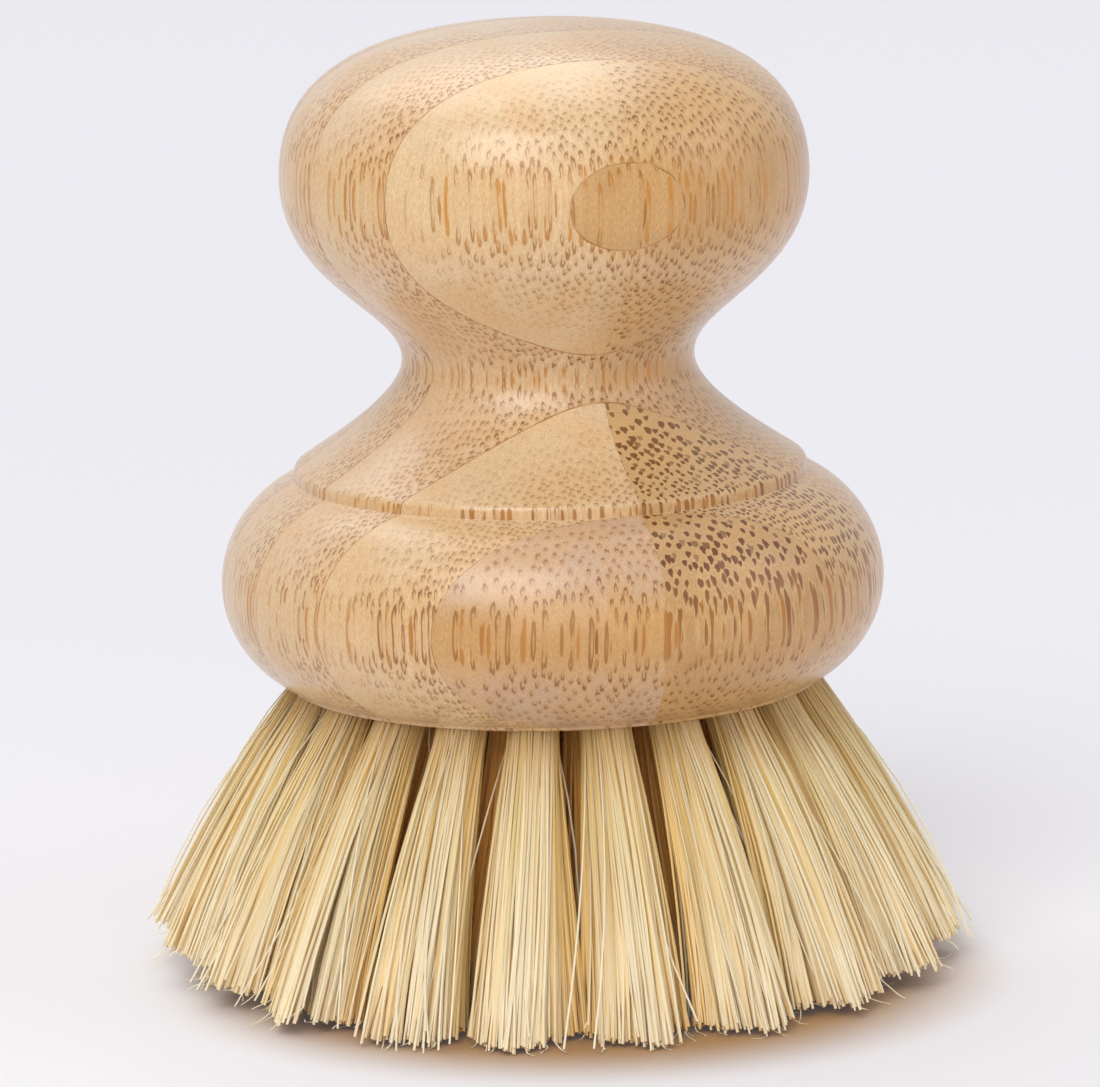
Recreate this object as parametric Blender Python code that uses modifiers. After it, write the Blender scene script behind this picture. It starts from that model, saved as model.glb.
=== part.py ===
"""Bamboo pot brush: a grip and head turned from one glued bamboo blank, with fanned tufts of plant fibre.

+Z is up and -Y is the front, square to the glue lines. The origin is on the brush's axis, on the
surface that the trimmed fibre tips stand on.
"""

import math

import bmesh
import bpy
from mathutils import Matrix, Vector
from mathutils.geometry import interpolate_bezier

mm = 0.001

# Turned body: heights are stacked upwards from the surface that the brush stands on
fibre_height = 25.8 * mm
lower_side_height = 9.1 * mm
upper_side_height = 9.5 * mm
step_height = 1.1 * mm
flare_height = 9.8 * mm
throat_height = 16.6 * mm
crown_height = 13.5 * mm

# Radii of the turned body: the head stands out beyond the knob and its own flat underside
step_radius = 23.5 * mm
step_lip = 0.35 * mm
step_face = 0.5 * mm
neck_radius = 13.2 * mm
knob_radius = 23.85 * mm
head_overhang = 6.15 * mm
underside_inset = 5.6 * mm

# Handles of each curved stretch of the outline, as shares of its own radial and upright spans
crown_shares = ((0.62, 0.0), (0.0, 0.74))
throat_shares = ((0.0, 0.577), (0.0, 0.293))
flare_shares = ((0.0, 0.348), (0.37, 0.25))
lip_shares = ((0.7, 0.25), (0.0, 0.5))
upper_side_shares = ((0.6, 0.161), (0.0, 0.442))
lower_side_shares = ((0.0, 0.422), (0.61, 0.191))

# Facets round the body, and points along each stretch of its outline
turned_sides = 52
crown_points = 7
throat_points = 8
flare_points = 5
lip_points = 2
side_points = 5

# Bamboo boards that the blank is glued up from, one behind the other along Y: the knob is turned
# from five of them and a shaving of the next one on each side
knob_board_count = 5
side_board_count = 3
joined_board_count = 1
knob_shaving_depth = 0.6 * mm
glue_line = 0.1 * mm

# Tufts of fibre, in rings round a centre tuft: each ring holds seven more than the one inside it
ring_names = ("inner", "middle", "outer")
tufts_per_ring_step = 7
first_tuft_angle = math.radians(-96.4)
rim_inset = 3.3 * mm
bore_web = 0.68 * mm
bore_depth = 7.0 * mm
bore_sides = 10
packing_clearance = 0.3 * mm
fan_focus = 43.5 * mm

# Strands of one tuft: where each ends, how much higher than the sole, and how thick
strands_per_tuft = 8
strand_gap = 0.24 * mm
fold_height = 1.0 * mm
fold_share = 0.62
fan_reach = 3.3 * mm
outer_bow = 0.8 * mm
strand_tip_share = 1.1
strand_reach_shares = (1.0, 0.52, 0.92, 0.6, 1.0, 0.56, 0.88, 0.64)
strand_trim_shares = (0.2, 0.9, 0.0, 0.6, 0.35, 1.0, 0.1, 0.7)
straight_shares = (1.0,)
bowed_shares = (0.5, 1.0)

# Trimmed sole: domed towards its edge, and flat in the middle where the brush stands
trim_scatter = 0.7 * mm
sole_radius = 36.8 * mm
sole_rise = 2.0 * mm
standing_cut = 0.5 * mm

# Looped wire staple that pins the fold of each tuft to the wood
staple_wire = 0.5 * mm
staple_inset = 0.07 * mm
staple_leg = 3.6 * mm

# Length by which every cutter runs past what it cuts
overrun = 2.0 * mm

bamboo_colour = (0.69, 0.50, 0.29)
outer_bamboo_colour = (0.66, 0.45, 0.28)
fibre_colour = (0.72, 0.58, 0.36)

head_radius = knob_radius + head_overhang
underside_radius = head_radius - underside_inset
board_thickness = 2 * (knob_radius - knob_shaving_depth) / knob_board_count
underside = fibre_height
widest_line = underside + lower_side_height
corner = widest_line + upper_side_height
step_top = corner + step_height
neck = step_top + flare_height
knob_line = neck + throat_height
top = knob_line + crown_height

# The outer ring is the crowded one: its bores lean together, with the web left between their ends
outer_ring_radius = underside_radius - rim_inset
outer_count = tufts_per_ring_step * len(ring_names)
bore_end_radius = outer_ring_radius * (1.0 - bore_depth / math.hypot(outer_ring_radius, fan_focus))
bore_radius = bore_end_radius * math.sin(math.pi / outer_count) - bore_web / 2
plug_radius = bore_radius - packing_clearance
plug_depth = bore_depth - packing_clearance
staple_width = 2 * (fold_share * plug_radius - staple_inset)


def new_collection(name):
    """Collection linked to the scene."""
    collection = bpy.data.collections.new(name)
    bpy.context.scene.collection.children.link(collection)
    return collection


def new_material(name, colour, roughness):
    """Plain Principled material."""
    material = bpy.data.materials.new(name)
    material.use_nodes = True
    shader = material.node_tree.nodes["Principled BSDF"]
    shader.inputs["Base Color"].default_value = (*colour, 1.0)
    shader.inputs["Roughness"].default_value = roughness
    shader.inputs["Metallic"].default_value = 0.0
    return material


def new_object(name, mesh, collection, material=None):
    """Object for a mesh, in a collection."""
    obj = bpy.data.objects.new(name, mesh)
    collection.objects.link(obj)
    if material is not None:
        obj.data.materials.clear()
        obj.data.materials.append(material)
    return obj


def new_mesh(name, bm):
    """Mesh data from a bmesh, with its faces pointing out."""
    bmesh.ops.recalc_face_normals(bm, faces=bm.faces)
    mesh = bpy.data.meshes.new(name)
    bm.to_mesh(mesh)
    bm.free()
    return mesh


def make_cutter(obj):
    """Mark an object as a cutting tool that is no part of the brush."""
    obj.hide_render = True
    obj.display_type = "WIRE"


def evaluated_mesh(obj):
    """Mesh of an object with its modifiers applied."""
    bpy.context.view_layer.update()
    graph = bpy.context.evaluated_depsgraph_get()
    return bpy.data.meshes.new_from_object(obj.evaluated_get(graph))


def curved_stretch(start, end, shares, points):
    """Outline points from start to end, without the end point."""
    (out_r, out_z), (in_r, in_z) = shares
    span_r, span_z = end.x - start.x, end.y - start.y
    leave = start + Vector((out_r * span_r, out_z * span_z))
    arrive = end - Vector((in_r * span_r, in_z * span_z))
    curve = interpolate_bezier(start, leave, arrive, end, points + 1)
    return curve[:-1]


def body_outline():
    """Half outline of the turned body, from the crown down to the edge of the underside."""
    crown_point = Vector((0.0, top))
    knob_point = Vector((knob_radius, knob_line))
    neck_point = Vector((neck_radius, neck))
    flare_end = Vector((step_radius - step_lip, step_top))
    lip_end = Vector((step_radius, corner + step_face))
    corner_point = Vector((step_radius, corner))
    widest_point = Vector((head_radius, widest_line))
    rim_point = Vector((underside_radius, underside))
    points = []
    points += curved_stretch(crown_point, knob_point, crown_shares, crown_points)
    points += curved_stretch(knob_point, neck_point, throat_shares, throat_points)
    points += curved_stretch(neck_point, flare_end, flare_shares, flare_points)
    points += curved_stretch(flare_end, lip_end, lip_shares, lip_points)
    points.append(lip_end)
    points += curved_stretch(corner_point, widest_point, upper_side_shares, side_points)
    points += curved_stretch(widest_point, rim_point, lower_side_shares, side_points)
    points.append(rim_point)
    return points


def turned_blank(collection):
    """Solid body of revolution, before it is drilled."""
    outline = bpy.data.meshes.new("body_outline")
    points = [(r, 0.0, z) for r, z in body_outline()]
    outline.from_pydata(points, [(i, i + 1) for i in range(len(points) - 1)], [])
    blank = new_object("turned_outline", outline, collection)
    screw = blank.modifiers.new("turn", "SCREW")
    screw.steps = turned_sides
    screw.render_steps = turned_sides
    screw.use_merge_vertices = True
    screw.merge_threshold = 0.00001
    bm = bmesh.new()
    bm.from_mesh(evaluated_mesh(blank))
    bmesh.ops.holes_fill(bm, edges=bm.edges)
    bpy.data.objects.remove(blank)
    return new_object("turned_blank", new_mesh("turned_blank", bm), collection)


def seat_matrix(ring_radius, angle):
    """Place of a tuft: origin at its mouth in the underside, -Z along its fibres, +X leaning outwards."""
    tilt = math.atan2(ring_radius, fan_focus)
    turn = Matrix.Rotation(angle, 4, "Z")
    lean = Matrix.Rotation(-tilt, 4, "Y")
    return turn @ Matrix.Translation((ring_radius, 0.0, underside)) @ lean


def tuft_rings():
    """Name, ring radius and angles of each ring of tufts, from the centre outwards."""
    rings = [("centre", 0.0, [first_tuft_angle])]
    for step, name in enumerate(ring_names, start=1):
        count = tufts_per_ring_step * step
        angles = [first_tuft_angle + math.tau * i / count for i in range(count)]
        rings.append((name, outer_ring_radius * step / len(ring_names), angles))
    return rings


def bore_mesh():
    """Drill: a bore from below the mouth, and the pocket that the staple's legs are driven into."""
    bm = bmesh.new()
    length = bore_depth + overrun
    drill = bmesh.ops.create_cone(
        bm, cap_ends=True, segments=bore_sides, radius1=bore_radius, radius2=bore_radius, depth=length
    )
    bmesh.ops.translate(bm, verts=drill["verts"], vec=(0.0, 0.0, bore_depth - length / 2))
    return new_mesh("bore", bm)


def pocket_mesh():
    """Slot above a bore for the staple's two legs."""
    bm = bmesh.new()
    low = plug_depth - fold_height
    high = plug_depth + staple_leg + packing_clearance
    width = staple_width + 2 * packing_clearance
    breadth = staple_wire + 2 * packing_clearance
    slot = bmesh.ops.create_cube(bm, size=1.0)
    bmesh.ops.scale(bm, verts=slot["verts"], vec=(breadth, width, high - low))
    bmesh.ops.translate(bm, verts=slot["verts"], vec=(0.0, 0.0, (high + low) / 2))
    return new_mesh("staple_pocket", bm)


def drill_cutters(collection):
    """One bore and one staple pocket for each tuft."""
    bore = bore_mesh()
    pocket = pocket_mesh()
    for name, radius, angles in tuft_rings():
        for number, angle in enumerate(angles, start=1):
            for kind, mesh in (("bore", bore), ("pocket", pocket)):
                cutter = new_object(f"{kind}_{name}_{number}", mesh, collection)
                cutter.matrix_world = seat_matrix(radius, angle)
                make_cutter(cutter)


def drilled_blank(collection, drills):
    """Mesh of the turned body with every bore and pocket cut out."""
    blank = turned_blank(collection)
    cut = blank.modifiers.new("drill", "BOOLEAN")
    cut.operation = "DIFFERENCE"
    cut.operand_type = "COLLECTION"
    cut.collection = drills
    mesh = evaluated_mesh(blank)
    bpy.data.objects.remove(blank)
    return mesh


def saw_cutter(name, collection, near, far, low, high):
    """Block that keeps one board: near and far along Y, low and high along Z."""
    bm = bmesh.new()
    block = bmesh.ops.create_cube(bm, size=1.0)
    reach = 2 * (head_radius + knob_radius)
    bmesh.ops.scale(bm, verts=block["verts"], vec=(reach, far - near, high - low))
    bmesh.ops.translate(bm, verts=block["verts"], vec=(0.0, (near + far) / 2, (low + high) / 2))
    cutter = new_object(f"saw_{name}", new_mesh(f"saw_{name}", bm), collection)
    make_cutter(cutter)
    return cutter


def board_layout():
    """Name, near, far, low and high of the kept block of every board piece."""
    bottom, ceiling = underside - overrun, top + overrun
    half_glue = glue_line / 2
    half_board = board_thickness / 2
    whole = (("", bottom, ceiling),)
    parted = (("_head", bottom, neck - half_glue), ("_knob", neck + half_glue, ceiling))
    layout = [("board_middle", -half_board + half_glue, half_board - half_glue, bottom, ceiling)]
    for layer in range(1, side_board_count + 1):
        near = layer * board_thickness - half_board + half_glue
        far = near + board_thickness - glue_line
        if layer == side_board_count:
            far = head_radius + overrun
        for suffix, low, high in whole if layer <= joined_board_count else parted:
            layout.append((f"board_front_{layer}{suffix}", -far, -near, low, high))
            layout.append((f"board_back_{layer}{suffix}", near, far, low, high))
    return layout


def make_boards(collection, cutters, wood):
    """Boards of the blank, each kept from the drilled body by its own block."""
    for name, near, far, low, high in board_layout():
        parted = name.endswith(("_head", "_knob"))
        colour = outer_bamboo_colour if parted else bamboo_colour
        material = new_material(f"bamboo_{name}", colour, roughness=0.45)
        board = new_object(name, wood.copy(), collection, material)
        keep = board.modifiers.new("saw", "BOOLEAN")
        keep.operation = "INTERSECT"
        keep.object = saw_cutter(name, cutters, near, far, low, high)


def sole_height(radius):
    """Height of the trimmed fibre ends, domed towards the edge and cut flat where the brush stands."""
    return max(0.0, sole_rise * (radius / sole_radius) ** 2 - standing_cut)


def move_section(bm, face, target, size):
    """Scale a strand's end face about its middle and move that to a target point."""
    centre = face.calc_center_median()
    bmesh.ops.scale(bm, verts=face.verts, vec=(size, size, 1.0), space=Matrix.Translation(-centre))
    bmesh.ops.translate(bm, verts=face.verts, vec=target - centre)


def trim_strand(face, seat, scatter):
    """Cut a strand level, at the height of the sole where it ends."""
    centre = seat @ face.calc_center_median()
    level = sole_height(math.hypot(centre.x, centre.y))
    if level > 0.0:
        level += scatter
    for vert in face.verts:
        side = next(edge for edge in vert.link_edges if edge not in face.edges)
        above = side.other_vert(vert)
        high, low = seat @ above.co, seat @ vert.co
        share = (high.z - level) / (high.z - low.z)
        vert.co = above.co + (vert.co - above.co) * share


def tuft_plug(bm):
    """Folded end of the bundle, packed in its bore; returns the open fan of strand roots."""
    bmesh.ops.create_circle(
        bm, cap_ends=True, cap_tris=True, segments=strands_per_tuft, radius=plug_radius
    )
    roots = list(bm.faces)
    rim = [e for e in bm.edges if e.is_boundary]
    for rise, width in ((plug_depth - fold_height, 1.0), (fold_height, fold_share)):
        wall = bmesh.ops.extrude_edge_only(bm, edges=rim)["geom"]
        verts = [g for g in wall if isinstance(g, bmesh.types.BMVert)]
        rim = [e for e in bm.edges if e.is_boundary and all(v in verts for v in e.verts)]
        bmesh.ops.translate(bm, verts=verts, vec=(0.0, 0.0, rise))
        bmesh.ops.scale(bm, verts=verts, vec=(width, width, 1.0))
    bmesh.ops.holes_fill(bm, edges=rim)
    bmesh.ops.recalc_face_normals(bm, faces=bm.faces)
    return roots


def tuft_mesh(name, radius, sections, bow):
    """Bundle of strands that fan out from their plug, section by section, down to the sole."""
    bm = bmesh.new()
    roots = tuft_plug(bm)
    bmesh.ops.inset_individual(bm, faces=roots, thickness=strand_gap / 2, use_even_offset=True)
    directions = [root.calc_center_median().normalized() for root in roots]
    root_reach = roots[0].calc_center_median().length
    ends, size = roots, 1.0
    for share in sections:
        ends = bmesh.ops.extrude_discrete_faces(bm, faces=ends)["faces"]
        next_size = 1.0 + share * (strand_tip_share - 1.0)
        leaning = 4 * share * (1.0 - share) * bow
        for face, direction, reach_share in zip(ends, directions, strand_reach_shares):
            reach = root_reach + share * (reach_share * fan_reach - root_reach)
            target = direction * reach + Vector((leaning, 0.0, -share * fibre_height))
            move_section(bm, face, target, next_size / size)
        size = next_size
    seat = seat_matrix(radius, 0.0)
    for face, trim_share in zip(ends, strand_trim_shares):
        trim_strand(face, seat, trim_share * trim_scatter)
    return new_mesh(name, bm)


def staple_mesh():
    """Looped wire: its bend lies in the fold of the bundle and its legs point into the wood."""
    half = (staple_width - staple_wire) / 2
    low = plug_depth - fold_height
    high = plug_depth + staple_leg
    wire = bpy.data.curves.new("staple_wire", "CURVE")
    wire.dimensions = "3D"
    wire.bevel_depth = staple_wire / 2
    wire.bevel_resolution = 0
    wire.use_fill_caps = True
    spline = wire.splines.new("POLY")
    route = ((-half, high), (-half, low), (half, low), (half, high))
    spline.points.add(len(route) - 1)
    for point, (across, height) in zip(spline.points, route):
        point.co = (0.0, across, height, 1.0)
    holder = bpy.data.objects.new("staple_wire", wire)
    bpy.context.scene.collection.objects.link(holder)
    mesh = evaluated_mesh(holder)
    bpy.data.objects.remove(holder)
    bm = bmesh.new()
    bm.from_mesh(mesh)
    bmesh.ops.remove_doubles(bm, verts=bm.verts, dist=0.00001)
    return new_mesh("staple", bm)


def stapled_tuft(name, radius, outermost, staple):
    """Tuft mesh joined with its staple; the outermost tufts bow outwards."""
    sections, bow = (bowed_shares, outer_bow) if outermost else (straight_shares, 0.0)
    holder = new_object(name, tuft_mesh(name, radius, sections, bow), bpy.context.scene.collection)
    join = holder.modifiers.new("staple", "BOOLEAN")
    join.operation = "UNION"
    join.object = staple
    mesh = evaluated_mesh(holder)
    bpy.data.objects.remove(holder)
    return mesh


def make_tufts(collection, cutters):
    """Every tuft in its bore, one shared mesh for each ring."""
    fibre = new_material("plant_fibre", fibre_colour, roughness=0.6)
    staple = new_object("staple", staple_mesh(), cutters)
    make_cutter(staple)
    for name, radius, angles in tuft_rings():
        mesh = stapled_tuft(f"tuft_{name}", radius, name == ring_names[-1], staple)
        mesh.materials.clear()
        mesh.materials.append(fibre)
        for number, angle in enumerate(angles, start=1):
            label = f"tuft_{name}_{number:02d}" if len(angles) > 1 else f"tuft_{name}"
            tuft = bpy.data.objects.new(label, mesh)
            tuft.matrix_world = seat_matrix(radius, angle)
            collection.objects.link(tuft)


def shade(collection):
    """Smooth round faces and keep the edges between flat ones."""
    for mesh in {obj.data for obj in collection.objects}:
        mesh.shade_smooth()
        mesh.set_sharp_from_angle(angle=math.radians(40))


def main():
    for obj in list(bpy.data.objects):
        bpy.data.objects.remove(obj)
    brush = new_collection("bamboo_pot_brush")
    cutters = new_collection("cutters")
    drills = new_collection("drills")
    drill_cutters(drills)
    wood = drilled_blank(cutters, drills)
    make_boards(brush, cutters, wood)
    make_tufts(brush, cutters)
    shade(brush)


main()
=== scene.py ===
import math
import random

import bmesh
import bpy
from mathutils import Matrix, Vector
from mathutils.geometry import interpolate_bezier


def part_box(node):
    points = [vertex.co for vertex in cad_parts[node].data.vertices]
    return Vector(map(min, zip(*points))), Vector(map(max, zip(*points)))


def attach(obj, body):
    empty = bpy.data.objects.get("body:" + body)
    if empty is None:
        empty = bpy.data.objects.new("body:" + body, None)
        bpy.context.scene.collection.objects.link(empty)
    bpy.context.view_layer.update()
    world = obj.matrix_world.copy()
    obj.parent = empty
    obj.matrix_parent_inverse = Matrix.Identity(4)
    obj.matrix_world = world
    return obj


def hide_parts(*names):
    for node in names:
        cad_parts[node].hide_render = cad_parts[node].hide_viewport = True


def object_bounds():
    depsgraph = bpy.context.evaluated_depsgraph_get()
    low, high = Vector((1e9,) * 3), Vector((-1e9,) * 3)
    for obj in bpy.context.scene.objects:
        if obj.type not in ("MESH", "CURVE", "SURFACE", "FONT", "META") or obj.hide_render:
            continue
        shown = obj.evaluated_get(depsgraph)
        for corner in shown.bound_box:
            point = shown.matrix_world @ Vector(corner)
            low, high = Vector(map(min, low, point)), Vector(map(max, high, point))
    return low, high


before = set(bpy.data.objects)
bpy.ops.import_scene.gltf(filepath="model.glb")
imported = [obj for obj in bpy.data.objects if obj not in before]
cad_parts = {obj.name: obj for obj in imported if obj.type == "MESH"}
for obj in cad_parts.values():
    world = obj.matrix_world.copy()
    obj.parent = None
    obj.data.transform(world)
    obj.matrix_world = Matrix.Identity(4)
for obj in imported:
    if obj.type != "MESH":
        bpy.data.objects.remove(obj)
cad_low, cad_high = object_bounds()


# The camera stands in front of the brush, 11 degrees above it and 18 degrees to the left of the
# square view of the boards. Its lens is long, so upright lines stay parallel, and slightly rolled.
mm = 0.001
photo_width = 1100
view_turn = math.radians(18.15)
view_roll = math.radians(1.2326)
view_distance = 752.8 * mm
view_height = 186.2 * mm
view_target = 37.9 * mm
focal_pixels = 8467
aside_pixels = 2.06
camera_data = bpy.data.cameras.new("camera")
camera_data.sensor_fit = "HORIZONTAL"
camera_data.sensor_width = 36.0
camera_data.lens = camera_data.sensor_width * focal_pixels / photo_width
camera_data.shift_x = -aside_pixels / photo_width
camera_data.clip_start = 0.05
camera_data.clip_end = 20.0
camera = bpy.data.objects.new("camera", camera_data)
stand = Vector((
    -math.sin(view_turn) * view_distance, -math.cos(view_turn) * view_distance, view_height,
))
gaze = (Vector((0.0, 0.0, view_target)) - stand).to_track_quat("-Z", "Y").to_matrix().to_4x4()
camera.matrix_world = Matrix.Translation(stand) @ gaze @ Matrix.Rotation(-view_roll, 4, "Z")
bpy.context.scene.collection.objects.link(camera)
bpy.context.scene.camera = camera
bpy.context.scene.view_settings.view_transform = "Standard"


# The wooden body is one blank of laminated bamboo, turned on a lathe: a round knob to hold, a
# narrow waist, a small step and a wide head with a flat underside. The outline is its half section.
board_low, board_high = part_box("board_middle")
head_radius = board_high.x
underside = board_low.z
top = board_high.z
lower_side_height = 9.1 * mm
upper_side_height = 9.65 * mm
step_face = 0.55 * mm
step_lip = 0.75 * mm
flare_height = 9.45 * mm
crown_height = 13.5 * mm
underside_radius = head_radius - 5.6 * mm
step_radius = 23.2 * mm
lip_reach = 0.4 * mm
neck_radius = 13.2 * mm
knob_radius = 23.85 * mm
rim_round = 0.35 * mm
rim_flare = 0.1 * rim_round
crease_in, crease_out, crease_up = 0.02 * mm, 0.06 * mm, 0.04 * mm
widest_line = underside + lower_side_height
corner = widest_line + upper_side_height
step_top = corner + step_face + step_lip
neck = step_top + flare_height
knob_line = top - crown_height
turned_sides = 256
points_a_stretch, lip_points, rim_points = 22, 10, 4
weld_distance = 0.001 * mm

# Each stretch of the outline leaves its start and meets its end along handles: (out, up) shares
crown_curve = ((0.62, 0.0), (0.0, 0.74))
hollow_curve = ((0.0, 0.577), (0.0, 0.293))
flare_curve = ((0.0, 0.348), (0.37, 0.25))
lip_curve = ((0.62, 0.22), (0.0, 0.55))
shoulder_curve = ((0.6, 0.161), (0.0, 0.442))
belly_curve = ((0.0, 0.422), (0.61, 0.191))
rim_curve = ((0.3, 0.7), (0.5, 0.0))


def curved(start, end, shares, points):
    """Outline points from start towards end, without the end point."""
    (out_r, out_z), (in_r, in_z) = shares
    start, end = Vector(start), Vector(end)
    span = end - start
    leave = start + Vector((out_r * span.x, out_z * span.y))
    arrive = end - Vector((in_r * span.x, in_z * span.y))
    return interpolate_bezier(start, leave, arrive, end, points + 1)[:-1]


def turned_blank():
    """Closed body of the whole blank, its outline spun round the axis, still to be sawn."""
    knob_side = (knob_radius, knob_line)
    waist = (neck_radius, neck)
    lip = (step_radius - lip_reach, step_top)
    step_edge = (step_radius, corner + step_face)
    crease = (step_radius + crease_out, corner)
    head_side = (head_radius, widest_line)
    rim = (underside_radius + rim_flare, underside + rim_round)
    flat = (underside_radius - rim_round, underside)
    outline = curved((0.0, top), knob_side, crown_curve, points_a_stretch)
    outline += curved(knob_side, waist, hollow_curve, points_a_stretch)
    outline += curved(waist, lip, flare_curve, points_a_stretch)
    outline += curved(lip, step_edge, lip_curve, lip_points)
    outline += [Vector(step_edge), Vector((step_radius + crease_in, corner + crease_up))]
    outline += curved(crease, head_side, shoulder_curve, points_a_stretch)
    outline += curved(head_side, rim, belly_curve, points_a_stretch)
    outline += curved(rim, flat, rim_curve, rim_points)
    outline += [Vector(flat), Vector((0.0, underside))]
    bm = bmesh.new()
    verts = [bm.verts.new((r, 0.0, z)) for r, z in outline]
    edges = [bm.edges.new(pair) for pair in zip(verts, verts[1:])]
    bmesh.ops.spin(
        bm, geom=verts + edges, axis=(0.0, 0.0, 1.0), angle=math.tau, steps=turned_sides,
        use_merge=True,
    )
    bmesh.ops.remove_doubles(bm, verts=bm.verts, dist=weld_distance)
    bmesh.ops.recalc_face_normals(bm, faces=bm.faces)
    return bm


# The tufts sit in bores drilled at a compound angle, in rings of 7, 14 and 21 round a centre one:
# every bore points at one focus above the underside, which is what makes the fibres fan out.
fan_focus = 43.5 * mm
outer_ring_radius = underside_radius - 3.3 * mm
bore_radius = 2.35 * mm
bore_depth = 7.0 * mm
bore_sides = 24
first_tuft_angle = math.radians(-96.4)
first_ring_count = 7
ring_names = ("inner", "middle", "outer")
saw_tolerance = 0.0001 * mm
sharp_edge = math.radians(35)


def seat_matrix(ring_radius, angle):
    """Place of a tuft: origin at its mouth, -Z along its fibres, +X leaning outwards."""
    lean = Matrix.Rotation(-math.atan2(ring_radius, fan_focus), 4, "Y")
    return Matrix.Rotation(angle, 4, "Z") @ Matrix.Translation((ring_radius, 0.0, underside)) @ lean


def tuft_places():
    """CAD node name, ring radius and angle of every tuft."""
    places = [("tuft_centre", 0.0, first_tuft_angle)]
    for ring, name in enumerate(ring_names, start=1):
        ring_radius = outer_ring_radius * ring / len(ring_names)
        count = first_ring_count * ring
        for i in range(count):
            angle = first_tuft_angle + math.tau * i / count
            places.append((f"tuft_{name}_{i + 1:02d}", ring_radius, angle))
    return places


def placed(name, bm):
    """New object at the origin with this bmesh as its mesh."""
    mesh = bpy.data.meshes.new(name)
    bm.to_mesh(mesh)
    bm.free()
    piece = bpy.data.objects.new(name, mesh)
    bpy.context.scene.collection.objects.link(piece)
    return piece


bm = bmesh.new()
for _, ring_radius, angle in tuft_places():
    bmesh.ops.create_cone(
        bm, cap_ends=True, segments=bore_sides, radius1=bore_radius, radius2=bore_radius,
        depth=2 * bore_depth, matrix=seat_matrix(ring_radius, angle),
    )
drills = placed("drills", bm)


def drilled(name, bm):
    """New object from a bmesh, with every bore cut out of it."""
    bmesh.ops.recalc_face_normals(bm, faces=bm.faces)
    piece = placed(name, bm)
    uncut = piece.data
    cut = piece.modifiers.new("drill", "BOOLEAN")
    cut.operation = "DIFFERENCE"
    cut.object = drills
    bpy.context.view_layer.update()
    graph = bpy.context.evaluated_depsgraph_get()
    piece.data = bpy.data.meshes.new_from_object(piece.evaluated_get(graph))
    piece.modifiers.clear()
    bpy.data.meshes.remove(uncut)
    piece.data.shade_smooth()
    piece.data.set_sharp_from_angle(angle=sharp_edge)
    return piece


def sawn(blank, planes):
    """Copy of the blank cut at planes given as (point, outward direction), with the cuts closed."""
    bm = blank.copy()
    for point, outward in planes:
        cut = bmesh.ops.bisect_plane(
            bm, geom=bm.verts[:] + bm.edges[:] + bm.faces[:], dist=saw_tolerance,
            plane_co=point, plane_no=outward, clear_outer=True,
        )
        edges = [g for g in cut["geom_cut"] if isinstance(g, bmesh.types.BMEdge)]
        if edges:
            filled = bmesh.ops.holes_fill(bm, edges=edges)
            bmesh.ops.triangulate(bm, faces=filled["faces"])
    return bm


def between(near, far):
    """Planes that keep what lies from near to far across Y, for sawn."""
    return [((0.0, near, 0.0), (0.0, -1.0, 0.0)), ((0.0, far, 0.0), (0.0, 1.0, 0.0))]


# Bamboo: strips of the culm wall, glued edge to edge into boards and oiled. Cut across, its fibre
# bundles are small open rings with a dark cap in pale tissue; cut along, they are orange streaks.
board_thickness = 9.3 * mm
strip_joint = 0.7 * mm

# The pattern is worked out in millimetres: bundles stand 0.7 apart and are 0.3 to 0.5 across
small_bundle_spacing = 0.7
large_bundle_spacing = 0.71
bundle_ring = 0.135
row_turn = math.radians(45)
row_disorder = 0.62
wander_reach, ragged_reach = 1.3, 0.34
crowding = 0.6
strip_apart, board_apart_x, board_apart_y = 61.7, 13.7, 29.3


def linear(text):
    """Linear colour of an sRGB hex value."""
    channels = [int(text[i:i + 2], 16) / 255 for i in (1, 3, 5)]
    curve = [c / 12.92 if c <= 0.04045 else ((c + 0.055) / 1.055) ** 2.4 for c in channels]
    return (*curve, 1.0)


def add_node(tree, kind, settings, inputs):
    """Node with its settings, and its inputs set or linked by name or number."""
    node = tree.nodes.new(kind)
    for name, value in settings.items():
        setattr(node, name, value)
    for name, value in inputs.items():
        if isinstance(value, bpy.types.NodeSocket):
            tree.links.new(value, node.inputs[name])
        else:
            node.inputs[name].default_value = value
    return node


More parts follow.
